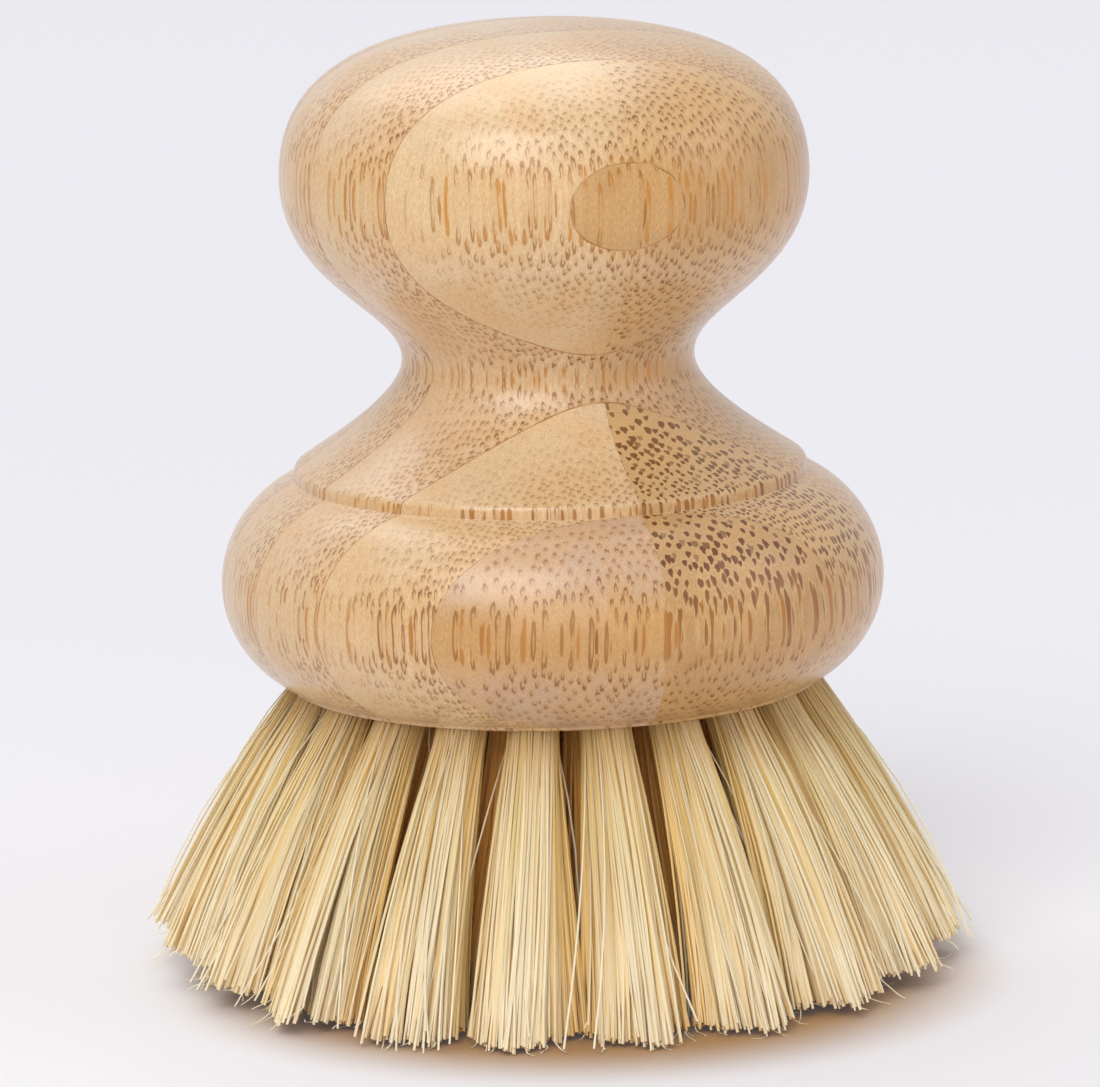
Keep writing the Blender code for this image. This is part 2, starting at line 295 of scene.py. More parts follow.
def bamboo(name, layer, tissue_tones, left_marks, right_marks, coarse):
    """Material of one board. Layer counts boards to the back, tones are those of the left and the
    right strip on level and then on upright faces, marks are strengths at front and back."""
    pale, tan, pale_side, tan_side = (linear(tone) for tone in tissue_tones)
    material = bpy.data.materials.new(name)
    material.use_nodes = True
    tree = material.node_tree
    shader = tree.nodes["Principled BSDF"]
    maths, vectors, ranges = "ShaderNodeMath", "ShaderNodeVectorMath", "ShaderNodeMapRange"
    smooth, mix = {"interpolation_type": "SMOOTHSTEP"}, {"data_type": "RGBA"}
    place = add_node(tree, "ShaderNodeTexCoord", {}, {})
    board = add_node(tree, "ShaderNodeMapping", {}, {
        "Vector": place.outputs["Object"], "Scale": (1 / mm,) * 3,
        "Location": (-strip_joint / mm, -layer * board_thickness / mm, 0.0),
    }).outputs[0]
    board_y = add_node(tree, "ShaderNodeSeparateXYZ", {}, {0: board}).outputs["Y"]
    depth = add_node(tree, maths, {"operation": "MULTIPLY_ADD", "use_clamp": True}, {
        0: board_y, 1: mm / board_thickness, 2: 0.5,
    }).outputs[0]

    # Bundles wander sideways along the culm, and their edges are ragged
    slow = add_node(tree, "ShaderNodeTexNoise", {}, {"Vector": board, "Scale": 0.07, "Detail": 1.0})
    short = add_node(tree, vectors, {"operation": "MULTIPLY"}, {0: board, 1: (3.0, 3.0, 0.12)})
    quick = add_node(tree, "ShaderNodeTexNoise", {}, {
        "Vector": short.outputs[0], "Scale": 1.0, "Detail": 1.0,
    })
    wander = add_node(tree, vectors, {"operation": "MULTIPLY_ADD"}, {
        0: slow.outputs["Color"], 1: (wander_reach, wander_reach, 0.0), 2: board,
    })
    ragged = add_node(tree, vectors, {"operation": "MULTIPLY_ADD"}, {
        0: quick.outputs["Color"], 1: (ragged_reach, ragged_reach, 0.0), 2: wander.outputs[0],
    })
    half_way = (wander_reach + ragged_reach) / 2
    centred = add_node(tree, vectors, {"operation": "SUBTRACT"}, {
        0: ragged.outputs[0], 1: (half_way, half_way, 0.0),
    })
    axes = add_node(tree, "ShaderNodeSeparateXYZ", {}, {0: centred.outputs[0]})
    strip = add_node(tree, maths, {"operation": "GREATER_THAN"}, {
        0: axes.outputs["X"], 1: 0.0,
    }).outputs[0]

    # Rows of bundles crowd towards the front of each board, the outside of the culm
    share = add_node(tree, maths, {"operation": "MULTIPLY"}, {
        0: axes.outputs["Y"], 1: mm / board_thickness,
    })
    slack = add_node(tree, maths, {"operation": "MULTIPLY_ADD"}, {
        0: share.outputs[0], 1: -crowding, 2: 1.0,
    })
    stretch = add_node(tree, maths, {"operation": "MULTIPLY_ADD"}, {
        0: share.outputs[0], 1: -2 * crowding, 2: 1.0,
    })
    crowded = add_node(tree, maths, {"operation": "MULTIPLY"}, {
        0: axes.outputs["Y"], 1: slack.outputs[0],
    })
    aside = add_node(tree, maths, {"operation": "MULTIPLY_ADD"}, {
        0: strip, 1: strip_apart, 2: board_apart_x * layer,
    })
    apart_x = add_node(tree, maths, {"operation": "ADD"}, {0: axes.outputs["X"], 1: aside.outputs[0]})
    apart_y = add_node(tree, maths, {"operation": "ADD"}, {
        0: crowded.outputs[0], 1: board_apart_y * layer,
    })
    rows = add_node(tree, "ShaderNodeCombineXYZ", {}, {0: apart_x.outputs[0], 1: apart_y.outputs[0]})
    spacing = add_node(tree, ranges, {}, {
        0: strip, 3: small_bundle_spacing, 4: large_bundle_spacing if coarse else small_bundle_spacing,
    }).outputs[0]
    closeness = add_node(tree, maths, {"operation": "DIVIDE"}, {0: 1.0, 1: spacing})
    scaled = add_node(tree, vectors, {"operation": "SCALE"}, {
        0: rows.outputs[0], "Scale": closeness.outputs[0],
    })
    turned = add_node(tree, "ShaderNodeVectorRotate", {"rotation_type": "Z_AXIS"}, {
        "Vector": scaled.outputs[0], "Angle": row_turn,
    }).outputs[0]
    cells = add_node(tree, "ShaderNodeTexVoronoi", {"voronoi_dimensions": "2D"}, {
        "Vector": turned, "Scale": 1.0, "Randomness": row_disorder,
    })
    chance = add_node(tree, "ShaderNodeSeparateColor", {}, {0: cells.outputs["Color"]})

    # How far the surface is cut across the culm: 1 on level faces, 0 on upright ones
    facing = add_node(tree, "ShaderNodeSeparateXYZ", {}, {0: place.outputs["Normal"]}).outputs["Z"]
    level = add_node(tree, maths, {"operation": "ABSOLUTE"}, {0: facing}).outputs[0]
    end_grain = add_node(tree, ranges, smooth, {0: level, 1: 0.1, 2: 0.6, 3: 0.0, 4: 1.0}).outputs[0]

    # Offset from the middle of the nearest bundle, in millimetres, for a bundle of average size
    astray = add_node(tree, vectors, {"operation": "SUBTRACT"}, {
        0: turned, 1: cells.outputs["Position"],
    })
    squared = add_node(tree, "ShaderNodeVectorRotate", {"rotation_type": "Z_AXIS"}, {
        "Vector": astray.outputs[0], "Angle": -row_turn,
    })
    any_size = add_node(tree, ranges, {}, {0: chance.outputs["Red"], 3: 0.8, 4: 1.2}).outputs[0]
    smallest = add_node(tree, ranges, {}, {0: strip, 3: 0.9, 4: 0.62 if coarse else 0.9}).outputs[0]
    largest = add_node(tree, ranges, {}, {0: strip, 3: 1.0, 4: 0.96 if coarse else 1.0}).outputs[0]
    growth = add_node(tree, ranges, {}, {
        0: depth, 1: 0.25, 2: 0.65, 3: smallest, 4: largest,
    }).outputs[0]
    size = add_node(tree, maths, {"operation": "MULTIPLY"}, {0: any_size, 1: growth})
    widened = add_node(tree, ranges, {}, {0: end_grain, 3: 1.2 if coarse else 1.12, 4: 1.0}).outputs[0]
    whole_size = add_node(tree, maths, {"operation": "MULTIPLY"}, {0: size.outputs[0], 1: widened})
    reach_x = add_node(tree, maths, {"operation": "DIVIDE"}, {0: spacing, 1: whole_size.outputs[0]})
    reach_y = add_node(tree, maths, {"operation": "DIVIDE"}, {
        0: reach_x.outputs[0], 1: stretch.outputs[0],
    })
    reaches = add_node(tree, "ShaderNodeCombineXYZ", {}, {0: reach_x.outputs[0], 1: reach_y.outputs[0]})
    across = add_node(tree, vectors, {"operation": "MULTIPLY"}, {
        0: squared.outputs[0], 1: reaches.outputs[0],
    })
    sides = add_node(tree, "ShaderNodeSeparateXYZ", {}, {0: across.outputs[0]})
    reach = add_node(tree, vectors, {"operation": "LENGTH"}, {0: across.outputs[0]}).outputs["Value"]

    # Small bundle: a thin ring, open to the front, with a solid cap at its back
    off_ring = add_node(tree, maths, {"operation": "SUBTRACT"}, {0: reach, 1: bundle_ring})
    ring_gap = add_node(tree, maths, {"operation": "ABSOLUTE"}, {0: off_ring.outputs[0]})
    ring_edge = add_node(tree, ranges, {}, {
        0: end_grain, 3: 0.075 if coarse else 0.06, 4: 0.08,
    }).outputs[0]
    ring_most = add_node(tree, ranges, {}, {0: end_grain, 3: 0.95, 4: 0.65}).outputs[0]
    ring = add_node(tree, ranges, smooth, {
        0: ring_gap.outputs[0], 1: ring_edge, 2: 0.02, 3: 0.0, 4: ring_most,
    })
    heading = add_node(tree, maths, {"operation": "DIVIDE"}, {0: sides.outputs["Y"], 1: reach})
    closed = add_node(tree, ranges, {}, {0: heading.outputs[0], 1: -0.95, 2: -0.4, 3: 0.0, 4: 1.0})
    legs = add_node(tree, maths, {"operation": "MULTIPLY"}, {0: ring.outputs[0], 1: closed.outputs[0]})
    core_edge = bundle_ring - (0.03 if coarse else 0.065)
    cap_edge = add_node(tree, ranges, {}, {
        0: end_grain, 3: core_edge, 4: bundle_ring + 0.03,
    }).outputs[0]
    cap_soft = add_node(tree, ranges, {}, {0: end_grain, 3: 0.035, 4: 0.06}).outputs[0]
    cap_rim = add_node(tree, maths, {"operation": "ADD"}, {0: cap_edge, 1: cap_soft}).outputs[0]
    inside = add_node(tree, ranges, smooth, {0: reach, 1: cap_rim, 2: cap_edge, 3: 0.0, 4: 1.0})
    behind = add_node(tree, ranges, smooth, {0: sides.outputs["Y"], 1: -0.02, 2: 0.06, 3: 0.0, 4: 1.0})
    cap_weight = add_node(tree, ranges, {}, {0: chance.outputs["Blue"], 3: 0.7, 4: 1.0})
    cap_shape = add_node(tree, maths, {"operation": "MULTIPLY"}, {
        0: inside.outputs[0], 1: behind.outputs[0],
    })
    cap = add_node(tree, maths, {"operation": "MULTIPLY"}, {
        0: cap_shape.outputs[0], 1: cap_weight.outputs[0],
    })
    ringed = add_node(tree, maths, {"operation": "MAXIMUM"}, {
        0: legs.outputs[0], 1: cap.outputs[0],
    }).outputs[0]
    solid_share = add_node(tree, ranges, {}, {0: end_grain, 2: 0.3, 3: 1.0, 4: 0.0}).outputs[0]
    solid_chance = add_node(tree, ranges, {}, {
        0: chance.outputs["Blue"], 1: 0.35 if coarse else 0.5, 2: 0.5 if coarse else 0.6,
    }).outputs[0]
    solid = add_node(tree, maths, {"operation": "MULTIPLY"}, {
        0: solid_share, 1: solid_chance,
    }).outputs[0]
    core = add_node(tree, maths, {"operation": "MULTIPLY"}, {0: inside.outputs[0], 1: solid}).outputs[0]
    small = add_node(tree, maths, {"operation": "MAXIMUM"}, {0: ringed, 1: core}).outputs[0]

    # Large bundle: two dark lobes at the back and one point to the front, slimmer in a streak. It
    # is found where the board is cut above its widest line only
    lobe_x = add_node(tree, maths, {"operation": "ABSOLUTE"}, {0: sides.outputs["X"]})
    lobe_offset = add_node(tree, maths, {"operation": "SUBTRACT"}, {0: lobe_x.outputs[0], 1: 0.1})
    lobe_depth = add_node(tree, maths, {"operation": "SUBTRACT"}, {0: sides.outputs["Y"], 1: 0.04})
    lobe_place = add_node(tree, "ShaderNodeCombineXYZ", {}, {
        0: lobe_offset.outputs[0], 1: lobe_depth.outputs[0],
    })
    lobe_reach = add_node(tree, vectors, {"operation": "LENGTH"}, {
        0: lobe_place.outputs[0],
    }).outputs["Value"]
    lobes = add_node(tree, maths, {"operation": "SUBTRACT"}, {0: 0.18, 1: lobe_reach})
    point_place = add_node(tree, vectors, {"operation": "ADD"}, {
        0: across.outputs[0], 1: (0.0, 0.1, 0.0),
    })
    point_reach = add_node(tree, vectors, {"operation": "LENGTH"}, {
        0: point_place.outputs[0],
    }).outputs["Value"]
    point = add_node(tree, maths, {"operation": "SUBTRACT"}, {0: 0.17, 1: point_reach})
    heart = add_node(tree, maths, {"operation": "SMOOTH_MAX"}, {
        0: lobes.outputs[0], 1: point.outputs[0], 2: 0.08,
    }).outputs[0]
    slimmed = add_node(tree, maths, {"operation": "MULTIPLY_ADD"}, {
        0: end_grain, 1: 0.03, 2: heart,
    }).outputs[0]
    large = add_node(tree, ranges, smooth, {0: slimmed, 1: -0.05, 2: 0.06, 3: 0.0, 4: 1.0}).outputs[0]
    above = add_node(tree, ranges, {}, {
        0: facing, 1: -0.3, 2: 0.0, 3: 0.0, 4: float(coarse),
    }).outputs[0]
    big_strip = add_node(tree, maths, {"operation": "MULTIPLY"}, {0: strip, 1: above}).outputs[0]
    shape = add_node(tree, "ShaderNodeMix", {}, {0: big_strip, 2: small, 3: large}).outputs[0]

    # Bundles are fainter and fewer towards the back of the board, the inside of the culm
    left = add_node(tree, ranges, {}, {0: depth, 1: 0.1, 2: 0.85, 3: left_marks[0], 4: left_marks[1]})
    right = add_node(tree, ranges, {}, {
        0: depth, 1: 0.1, 2: 0.85, 3: right_marks[0], 4: right_marks[1],
    })
    strength = add_node(tree, "ShaderNodeMix", {}, {
        0: strip, 2: left.outputs[0], 3: right.outputs[0],
    }).outputs[0]
    least = add_node(tree, ranges, {}, {0: end_grain, 3: 0.75, 4: 0.6}).outputs[0]
    vary = add_node(tree, ranges, {}, {
        0: chance.outputs["Green"], 1: 0.0, 2: 0.4, 3: least, 4: 1.0,
    }).outputs[0]
    uneven = add_node(tree, maths, {"operation": "MULTIPLY"}, {0: strength, 1: vary}).outputs[0]
    streaky = add_node(tree, ranges, {}, {0: end_grain, 3: 2.6, 4: 1.0}).outputs[0]
    weight = add_node(tree, maths, {"operation": "MULTIPLY", "use_clamp": True}, {
        0: uneven, 1: streaky,
    }).outputs[0]
    bundle = add_node(tree, maths, {"operation": "MULTIPLY"}, {0: shape, 1: weight}).outputs[0]

    # Fine grain: long narrow lines on upright faces, fine specks on level ones
    grain_place = add_node(tree, vectors, {"operation": "MULTIPLY"}, {0: board, 1: (7.0, 7.0, 2.4)})
    grain = add_node(tree, "ShaderNodeTexNoise", {}, {
        "Vector": grain_place.outputs[0], "Scale": 1.0, "Detail": 4.0, "Roughness": 0.7,
    }).outputs["Fac"]
    patch = add_node(tree, "ShaderNodeTexNoise", {}, {
        "Vector": wander.outputs[0], "Scale": 0.16, "Detail": 2.0,
    }).outputs["Fac"]
    blend = 0.03 if coarse else 4.5
    strip_share = add_node(tree, ranges, smooth, {0: axes.outputs["X"], 1: -blend, 2: blend}).outputs[0]
    strip_tone = add_node(tree, "ShaderNodeMix", mix, {0: strip_share, 6: pale, 7: tan}).outputs[2]
    upright_tone = add_node(tree, "ShaderNodeMix", mix, {
        0: strip_share, 6: pale_side, 7: tan_side,
    }).outputs[2]
    tissue = add_node(tree, "ShaderNodeMix", mix, {
        0: end_grain, 6: upright_tone, 7: strip_tone,
    }).outputs[2]
    shade = add_node(tree, ranges, {}, {0: grain, 1: 0.3, 2: 0.7, 3: 0.8, 4: 1.2}).outputs[0]
    gold_share = add_node(tree, ranges, smooth, {
        0: patch, 1: 0.42, 2: 0.62, 3: 0.0, 4: 0.32,
    }).outputs[0]
    toned = add_node(tree, "ShaderNodeMix", mix, {
        0: gold_share, 6: tissue, 7: linear("#DBAA6C"),
    }).outputs[2]
    grained = add_node(tree, vectors, {"operation": "SCALE"}, {0: toned, "Scale": shade}).outputs[0]
    halo_most = add_node(tree, ranges, {}, {0: big_strip, 3: 0.38, 4: 0.5}).outputs[0]
    halo = add_node(tree, ranges, smooth, {0: reach, 1: 0.5, 2: 0.2, 3: 0.0, 4: halo_most}).outputs[0]
    halo_weight = add_node(tree, maths, {"operation": "MULTIPLY"}, {0: halo, 1: uneven}).outputs[0]
    halo_tone = add_node(tree, "ShaderNodeMix", mix, {
        0: big_strip, 6: linear("#C38843"), 7: linear("#DDBA84"),
    }).outputs[2]
    warmed = add_node(tree, "ShaderNodeMix", mix, {0: halo_weight, 6: grained, 7: halo_tone}).outputs[2]
    streak_tone = add_node(tree, "ShaderNodeMix", mix, {
        0: chance.outputs["Blue"],
        6: linear("#8D591F" if coarse else "#9E641B"), 7: linear("#BC7B2A" if coarse else "#CC8A2A"),
    }).outputs[2]
    dot_tone = add_node(tree, "ShaderNodeMix", mix, {
        0: big_strip, 6: linear("#744414"), 7: linear("#6E3E0E"),
    }).outputs[2]
    bundle_tone = add_node(tree, "ShaderNodeMix", mix, {
        0: end_grain, 6: streak_tone, 7: dot_tone,
    }).outputs[2]
    marked = add_node(tree, "ShaderNodeMix", mix, {0: bundle, 6: warmed, 7: bundle_tone}).outputs[2]
    joint_reach = add_node(tree, maths, {"operation": "ABSOLUTE"}, {0: axes.outputs["X"]}).outputs[0]
    joint = add_node(tree, ranges, {}, {0: joint_reach, 1: 0.03, 2: 0.09, 3: 0.2, 4: 0.0}).outputs[0]
    jointed = add_node(tree, "ShaderNodeMix", mix, {
        0: joint, 6: marked, 7: linear("#9C6B3A"),
    }).outputs[2]
    tree.links.new(jointed, shader.inputs["Base Color"])

    # Rubbed oil leaves a low lustre; the open ends of the bundles are slightly sunk and matt
    rough = add_node(tree, ranges, {}, {0: bundle, 3: 0.38, 4: 0.55}).outputs[0]
    tree.links.new(rough, shader.inputs["Roughness"])
    sunk = add_node(tree, maths, {"operation": "MULTIPLY_ADD"}, {
        0: bundle, 1: -0.5, 2: grain,
    }).outputs[0]
    bump = add_node(tree, "ShaderNodeBump", {}, {
        "Strength": 0.3, "Distance": 0.02 * mm, "Height": sunk,
    })
    tree.links.new(bump.outputs[0], shader.inputs["Normal"])
    shader.inputs["Specular IOR Level"].default_value = 0.15
    shader.inputs["Coat Weight"].default_value = 1.0
    shader.inputs["Coat Roughness"].default_value = 0.28
    return material


# Seven boards make the blank. The middle three run from the head into the knob, and turning has
# parted the others at the waist; the outermost leave a patch on the head and a shaving on the knob.
half_board = board_thickness / 2
past_the_side = head_radius + 2.0 * mm
half_glue = {1: 0.045 * mm, 3: 0.045 * mm, 5: 0.02 * mm}
blank = turned_blank()


def glue_side(number, toward_middle):
    """Distance from the middle to one side of the glue film that lies number half boards out."""
    return number * half_board + (-1 if toward_middle else 1) * half_glue[number]


def board_piece(node, near, far, layer, tissue_tones, left_marks, right_marks, coarse=False):
    """One board, kept between two planes across Y, dressed and standing for its CAD node."""
    planes = between(near, far)
    if node.endswith("_head"):
        planes.append(((0.0, 0.0, neck), (0.0, 0.0, 1.0)))
    if node.endswith("_knob"):
        planes.append(((0.0, 0.0, neck), (0.0, 0.0, -1.0)))
    piece = drilled(node.replace("board", "bamboo_board"), sawn(blank, planes))
    piece.data.materials.clear()
    material = bamboo(f"oiled_bamboo_{node}", layer, tissue_tones, left_marks, right_marks, coarse)
    piece.data.materials.append(material)
    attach(piece, "root")
    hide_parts(node)


middle_tones = ("#DDBF9A", "#CCA97D", "#DEBC8D", "#C79B65")
straw_tones = ("#DEC097", "#CCA572", "#DEBA8B", "#C6985E")
knob_tones = ("#DFC197", "#CFAB7B", "#E1C091", "#C79C63")
shaving_tones = ("#C79D68", "#C79D68", "#C5985F", "#C5985F")
patch_tones = ("#CCAC8F", "#C39967", "#C99A5F", "#BF9057")
first_back = (glue_side(1, False), glue_side(3, True))
second_back = (glue_side(3, False), glue_side(5, True))
third_back = (glue_side(5, False), past_the_side)
first_front, second_front, third_front = (
    (-far, -near) for near, far in (first_back, second_back, third_back)
)
half_middle = glue_side(1, True)
board_piece("board_middle", -half_middle, half_middle, 0, middle_tones, (0.85, 0.2), (0.9, 0.4))
board_piece("board_front_1", *first_front, -1, middle_tones, (0.85, 0.15), (0.9, 0.4))
board_piece("board_back_1", *first_back, 1, middle_tones, (0.85, 0.15), (0.9, 0.4))
board_piece("board_front_2_head", *second_front, -2, straw_tones, (0.75, 0.15), (0.95, 0.9), True)
board_piece("board_front_2_knob", *second_front, -2, knob_tones, (0.75, 0.12), (1.0, 0.9))
board_piece("board_front_3_head", *third_front, -3, patch_tones, (0.85, 0.65), (1.0, 1.0), True)
board_piece("board_front_3_knob", *third_front, -3, shaving_tones, (0.7, 0.7), (0.7, 0.7))
board_piece("board_back_2_head", *second_back, 2, straw_tones, (0.75, 0.15), (0.95, 0.9), True)
board_piece("board_back_2_knob", *second_back, 2, knob_tones, (0.9, 0.1), (1.0, 0.9))
board_piece("board_back_3_head", *third_back, 3, straw_tones, (0.8, 0.35), (0.9, 0.4))
board_piece("board_back_3_knob", *third_back, 3, shaving_tones, (0.7, 0.7), (0.7, 0.7))


# Glue lines: a thin film of brown wood glue between each two boards, pressed out even when the
# blank was clamped, then turned flush with the wood. Its brown comes and goes every 2 mm or so.
glue = bpy.data.materials.new("brown_wood_glue")
glue.use_nodes = True
glue_tree = glue.node_tree
glue_shader = glue_tree.nodes["Principled BSDF"]
glue_place = add_node(glue_tree, "ShaderNodeTexCoord", {}, {})
glue_noise = add_node(glue_tree, "ShaderNodeTexNoise", {}, {
    "Vector": glue_place.outputs["Object"], "Scale": 500.0, "Detail": 2.0,
})
glue_wear = add_node(glue_tree, "ShaderNodeMapRange", {}, {
    0: glue_noise.outputs["Fac"], 1: 0.35, 2: 0.65,
})
glue_tone = add_node(glue_tree, "ShaderNodeMix", {"data_type": "RGBA"}, {
    0: glue_wear.outputs[0], 6: linear("#98683C"), 7: linear("#CCA06C"),
})
glue_tree.links.new(glue_tone.outputs[2], glue_shader.inputs["Base Color"])
glue_shader.inputs["Roughness"].default_value = 0.45
for number, half_boards_out in enumerate((-5, -3, -1, 1, 3, 5), start=1):
    plane = half_boards_out * half_board
    half_film = half_glue[abs(half_boards_out)]
    film = sawn(blank, between(plane - half_film, plane + half_film))
    piece = drilled(f"glue_line_{number}", film)
    piece.data.materials.clear()
    piece.data.materials.append(glue)
    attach(piece, "root")
blank.free()
bpy.data.objects.remove(drills)


# Fibre tufts: each is a bundle of stiff agave fibres, folded over a wire staple, driven into its
# bore and trimmed level. The fibres splay below the wood, a few stray, and their cut ends fray.
fibre_radius = 0.115 * mm
fibre_sides, fibre_segments = 5, 6
fibre_corners = fibre_sides * (fibre_segments + 1)
bundle_radius = 2.1 * mm
root_depth = 2.5 * mm
fan_reach = 4.2 * mm
inner_fan_reach = 5.2 * mm
fan_bow = 0.8 * mm
clump_count = 18
clump_pull = 0.28
outer_fibres, hidden_fibres, frays = 500, 180, 18
fan_limit = max(-cad_low.x, cad_high.x) + 1.3 * mm
fan_edge = fan_limit + 0.4 * mm
sole_radius = 36.0 * mm
sole_gap = 0.55 * mm
left_wear, right_wear = 2.7 * mm, 1.9 * mm
least_cut_height = 0.15 * mm
least_height = 0.02 * mm
golden_turn = 2.39996
packing = 0.42
stray_share = 0.045
stray_spread, fibre_spread = 2.3 * mm, 0.42 * mm
stray_curl, fibre_curl = 0.8, 0.22
thinner_stray = 0.75
hidden_inner = 0.8
inner_from, inner_band = 0.93, 0.3
swell_root, swell_along, swell_end = 0.7, 1.5, 0.5
swell_stops = 0.99
fray_overlap = 0.2

# Ranges to draw from, in millimetres: the uneven cut, and the hairs of the frayed ends
cut_uneven = (-0.45, 0.6, 0.0)
stray_lift = (0.0, 1.5)
fray_lengths, fray_widths, fray_waves = (1.2, 3.6), (0.07, 0.11), (-0.35, 0.35)
draws = random.Random(7)

straight_fibre = bpy.data.meshes.new("straight_fibre")
bm = bmesh.new()
bmesh.ops.create_cone(bm, cap_ends=True, segments=fibre_sides, radius1=1.1, radius2=0.9, depth=1.0)
bmesh.ops.translate(bm, verts=bm.verts, vec=(0.0, 0.0, -0.5))
long_edges = [e for e in bm.edges if abs(e.verts[0].co.z - e.verts[1].co.z) > 0.5]
bmesh.ops.subdivide_edges(bm, edges=long_edges, cuts=fibre_segments - 1)
bm.verts.layers.float.new("tone")
bm.verts.layers.float.new("along")
bm.verts.layers.float.new("painted_warm_shade")
bm.to_mesh(straight_fibre)
bm.free()


def fibre_stack(name, count):
    """Mesh of count straight fibres, one after the other, to be bent into a tuft."""
    bm = bmesh.new()
    for _ in range(count):
        bm.from_mesh(straight_fibre)
    stack = bpy.data.meshes.new(name)
    bm.to_mesh(stack)
    bm.free()
    return stack


def sole_level(point):
    """Height of the trimmed and worn fibre ends above the surface that the brush stands on."""
    to_right = point.x * math.cos(view_turn) - point.y * math.sin(view_turn)
    share = to_right / sole_radius
    wear = left_wear if share < 0.0 else right_wear
    return sole_gap + wear * abs(share) ** 3


def clamped(value):
    """Value kept from 0 to 1."""
    return min(1.0, max(0.0, value))


def hold_in(vert):
    """Keep a point above the table and inside the widest splay."""
    vert.co.z = max(vert.co.z, least_height)
    splay = math.hypot(vert.co.x, vert.co.y)
    if splay > fan_edge:
        vert.co.xy *= fan_edge / splay


